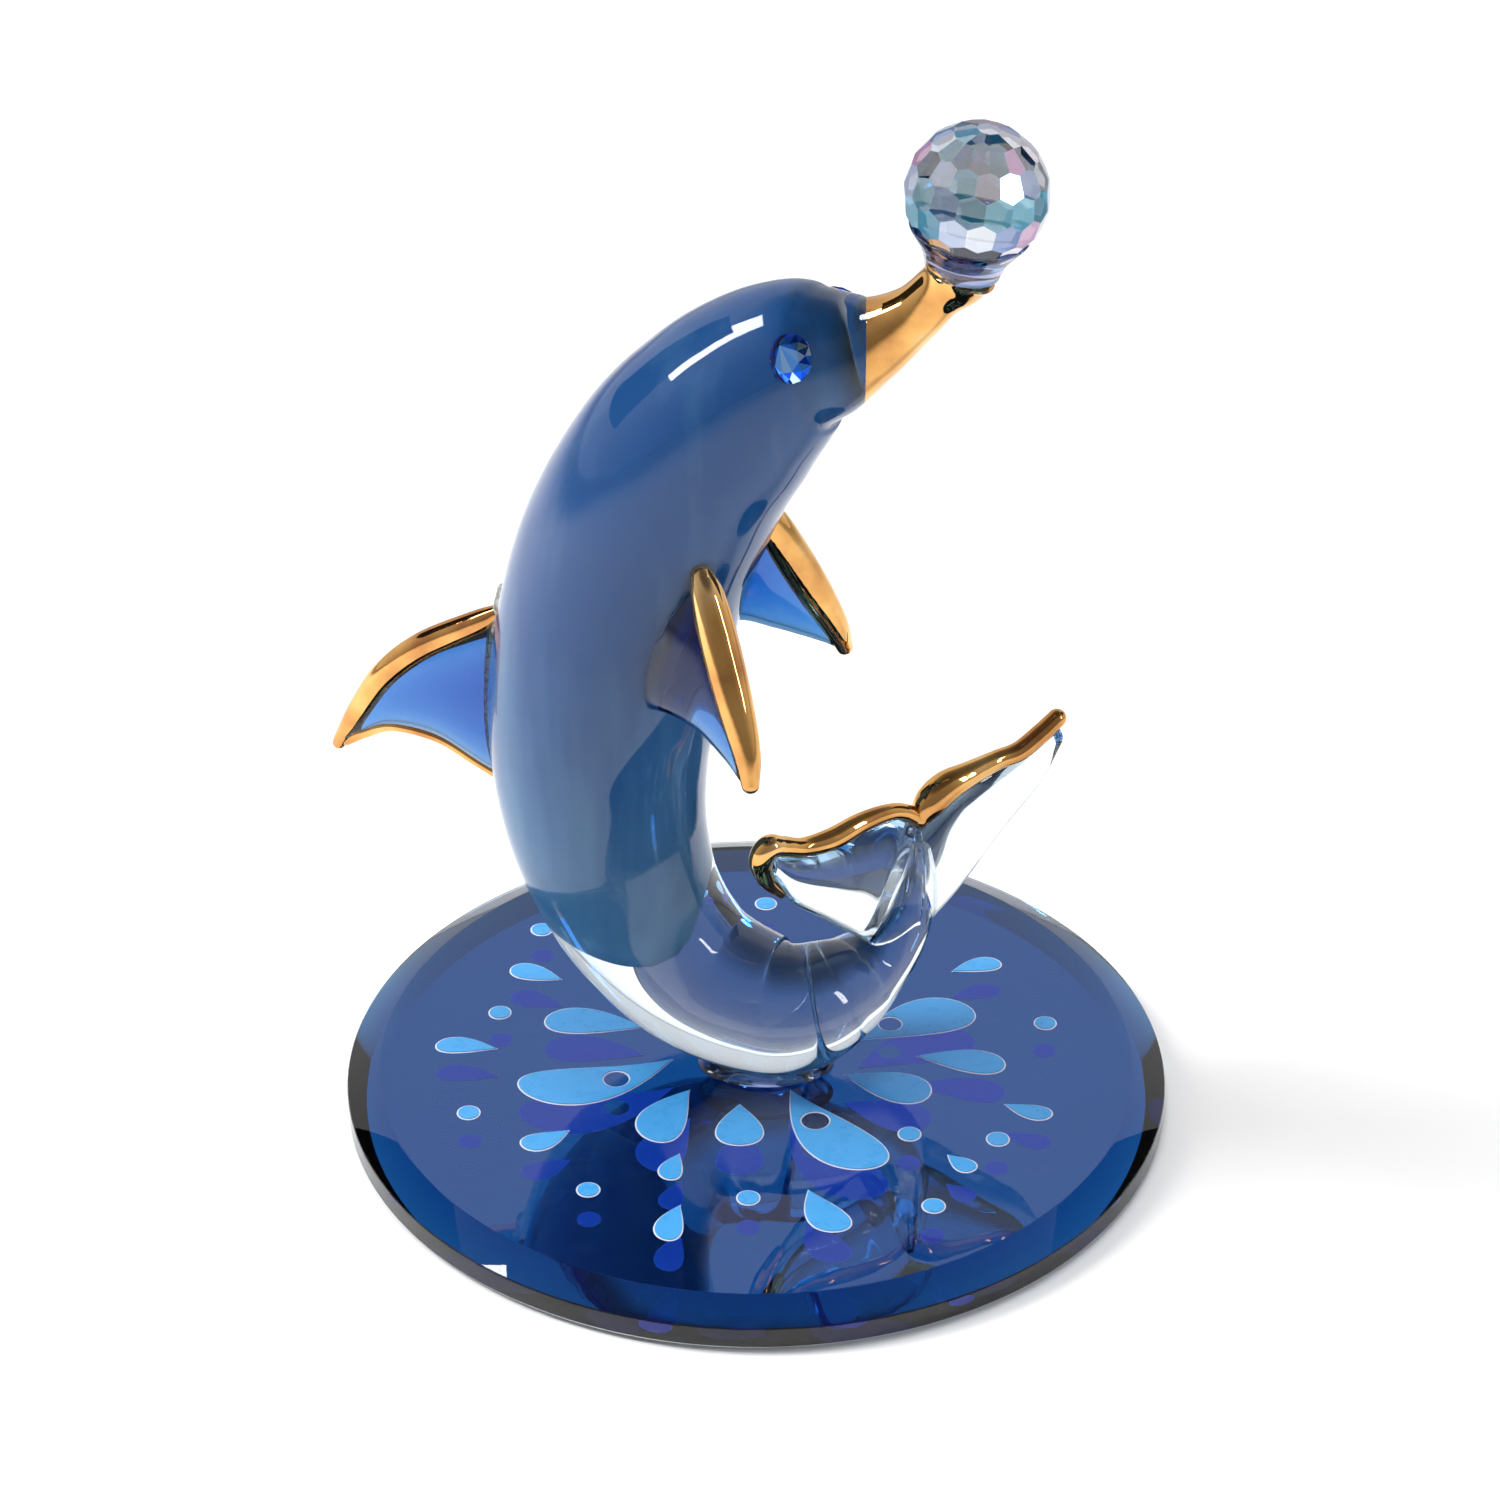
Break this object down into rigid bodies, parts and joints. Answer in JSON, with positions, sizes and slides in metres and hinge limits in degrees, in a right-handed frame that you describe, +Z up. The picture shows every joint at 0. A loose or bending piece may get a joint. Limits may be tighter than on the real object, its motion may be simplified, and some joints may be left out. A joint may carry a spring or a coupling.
{
  "type": "glass dolphin figurine",
  "caption": "Blue lampworked glass dolphin with gilded beak, fins and flukes, balancing a faceted crystal ball on a round bevelled mirror base with printed splashes.",
  "frame": {"origin": "centre of the underside of the round base", "axes": "+Z up through the base, +X to the side that the beak and the ball lean to, +Y to the back"},
  "size_m": [0.0771, 0.076, 0.1008],
  "materials": {
    "backing_paint": "brushed protective paint",
    "mirror_silver": "silvering behind the base glass",
    "base_glass": "cobalt tinted, polished and bevelled",
    "white_print": "screen-printed enamel",
    "blue_print": "screen-printed enamel",
    "clear_cement": "cured clear resin",
    "clear_glass": "flame-polished",
    "blue_glass": "cased blue rod",
    "fin_glass": "flame-polished blue",
    "fired_gold": "fired gold lustre over glass",
    "crystal": "cut and polished, iridescent coat",
    "sapphire_crystal": "cut and polished"
  },
  "bodies": {
    "root": {"backing_paint": "backing_paint", "mirror_silver": "mirror_silver", "base_glass": "base_glass", "splash_underprint": "white_print", "splash_petals": "blue_print", "splash_dots": "blue_print", "foot_cement": "clear_cement", "body_casing": "clear_glass", "body_core": "blue_glass", "dorsal_weld": "clear_glass", "dorsal_fin": "fin_glass", "dorsal_gold_upper": "fired_gold", "dorsal_gold_lower": "fired_gold", "flipper_right": "fin_glass", "flipper_right_gold": "fired_gold", "flipper_left": "fin_glass", "flipper_left_gold": "fired_gold", "fluke_right": "clear_glass", "fluke_right_gold": "fired_gold", "fluke_left": "clear_glass", "fluke_left_gold": "fired_gold", "beak_glass": "clear_glass", "beak_gold": "fired_gold", "ball_cement": "clear_cement", "crystal_ball": "crystal", "eye_right": "sapphire_crystal", "eye_left": "sapphire_crystal"}
  },
  "joints": []
}
